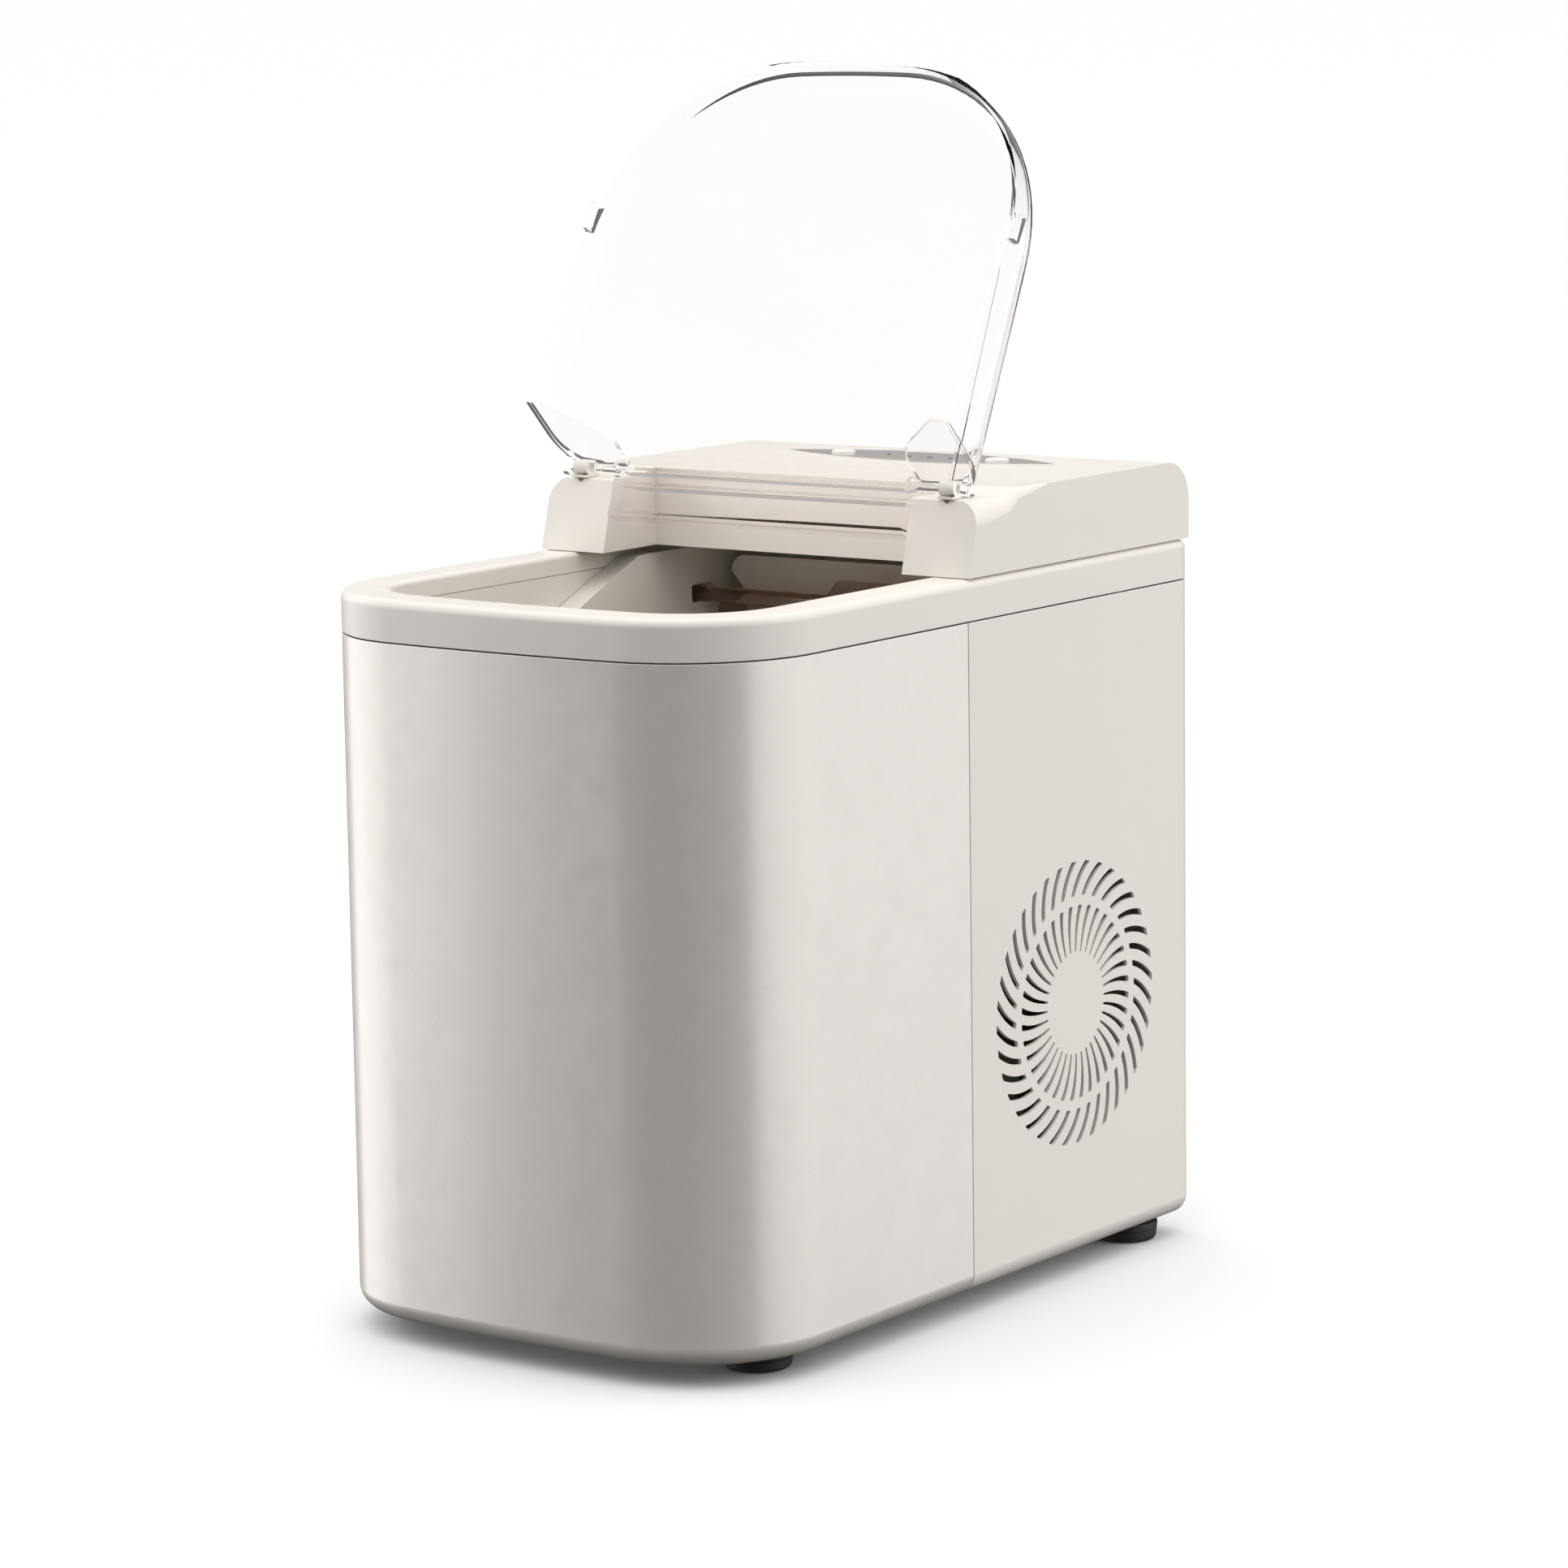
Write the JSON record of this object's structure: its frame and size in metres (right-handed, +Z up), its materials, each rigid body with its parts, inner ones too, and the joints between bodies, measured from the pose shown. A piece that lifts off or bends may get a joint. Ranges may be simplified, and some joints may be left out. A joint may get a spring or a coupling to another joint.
{
  "type": "ice maker",
  "caption": "Countertop bullet-ice maker: rounded front shell, clear hinged lid, ice well with lift-out basket, tilting water tray, swirl fan grille and rubber feet.",
  "frame": {"origin": "on the table under the middle of the machine, at the bottom of the rubber feet", "axes": "+X to the machine's right side (fan grille), -Y towards the rounded front with the ice bin, +Z up"},
  "size_m": [0.242, 0.372, 0.5575],
  "materials": {
    "ivory_plastic": "satin moulded ABS, warm white",
    "pearl_shell": "pearl silver lacquer on ABS",
    "liner_plastic": "matt food-grade moulded plastic",
    "clear_plastic": "clear polished polycarbonate",
    "smoke_plastic": "smoky brown transparent plastic",
    "panel_overlay": "grey metallic printed overlay",
    "rubber": "matt black rubber",
    "black_plastic": "matt black moulding",
    "black_metal": "black lacquered steel",
    "steel": "zinc-plated steel",
    "nickel": "nickel-plated copper",
    "aluminium_fin": "bare aluminium fins",
    "copper": "bare copper tube",
    "circuit_board": "green solder mask",
    "silicone": "milky silicone hose",
    "foam": "expanded foam"
  },
  "bodies": {
    "housing": {"front_shell": "pearl_shell", "rear_housing": "ivory_plastic", "base_tray": "ivory_plastic", "top_frame": "ivory_plastic", "top_cover": "ivory_plastic", "foot_front_left": "rubber", "foot_front_right": "rubber", "foot_rear_left": "rubber", "foot_rear_right": "rubber", "drain_spout": "liner_plastic", "control_panel": "panel_overlay", "light_guide": "clear_plastic", "control_board": "circuit_board", "hinge_saddle_left": "liner_plastic", "hinge_saddle_right": "liner_plastic", "ice_well": "liner_plastic", "well_insulation": "foam", "chute_cheek_left": "liner_plastic", "chute_cheek_right": "liner_plastic", "ice_ramp": "liner_plastic", "evaporator_baffle": "liner_plastic", "evaporator": "nickel", "tray_motor": "steel", "compressor": "black_metal", "grommet_left": "rubber", "grommet_right": "rubber", "grommet_front": "rubber", "condenser": "aluminium_fin", "fan_shroud": "black_plastic", "fan_motor": "black_plastic", "water_pump": "black_plastic", "pump_hose": "silicone", "solenoid_valve": "steel", "filter_drier": "copper", "discharge_line": "copper", "suction_line": "copper", "ice_sensor_left": "black_plastic", "ice_sensor_right": "black_plastic", "water_level_probe": "steel", "power_inlet": "black_plastic", "rear_screw_1": "steel", "rear_screw_2": "steel", "rear_screw_3": "steel", "rear_screw_4": "steel"},
    "lid": {"lid": "clear_plastic"},
    "fan": {"fan_rotor": "black_plastic"},
    "power_key": {"power_button": "ivory_plastic"},
    "select_key": {"select_button": "ivory_plastic"},
    "basket": {"ice_basket": "liner_plastic"},
    "tray": {"water_tray": "smoke_plastic", "tray_drive_hub": "black_plastic"},
    "shovel": {"ice_shovel": "smoke_plastic"},
    "drain_plug": {"drain_cap": "ivory_plastic"}
  },
  "joints": [
    {"name": "lid_hinge", "type": "hinge", "parent": "housing", "child": "lid", "pos_m": [0, 0.012, 0.3716], "axis": [-1, 0, 0], "range_deg": [-121.5, 0]},
    {"name": "fan_spin", "type": "hinge", "parent": "housing", "child": "fan", "pos_m": [0.091, 0.084, 0.128], "axis": [1, 0, 0], "continuous": true},
    {"name": "power_press", "type": "slide", "parent": "housing", "child": "power_key", "axis": [0, 0, -1], "range_m": [0, 0.001], "stiffness_N_per_m": 300, "springref_m": -0.0005},
    {"name": "select_press", "type": "slide", "parent": "housing", "child": "select_key", "axis": [0, 0, -1], "range_m": [0, 0.001], "stiffness_N_per_m": 300, "springref_m": -0.0005},
    {"name": "basket_lift", "type": "slide", "parent": "housing", "child": "basket", "axis": [0, 0, 1], "range_m": [0, 0.16]},
    {"name": "tray_tilt", "type": "hinge", "parent": "housing", "child": "tray", "pos_m": [0, 0.128, 0.296], "axis": [1, 0, 0], "range_deg": [0, 75]},
    {"name": "shovel_slide", "type": "slide", "parent": "housing", "child": "shovel", "axis": [0, 1, 0], "range_m": [0, 0.01]},
    {"name": "drain_turn", "type": "hinge", "parent": "housing", "child": "drain_plug", "pos_m": [0, -0.07, 0], "axis": [0, 0, -1], "range_deg": [0, 90]}
  ],
  "couplings": [
    {"joint": "shovel_slide", "follows": "tray_tilt", "m_per_rad": 0.007639}
  ]
}
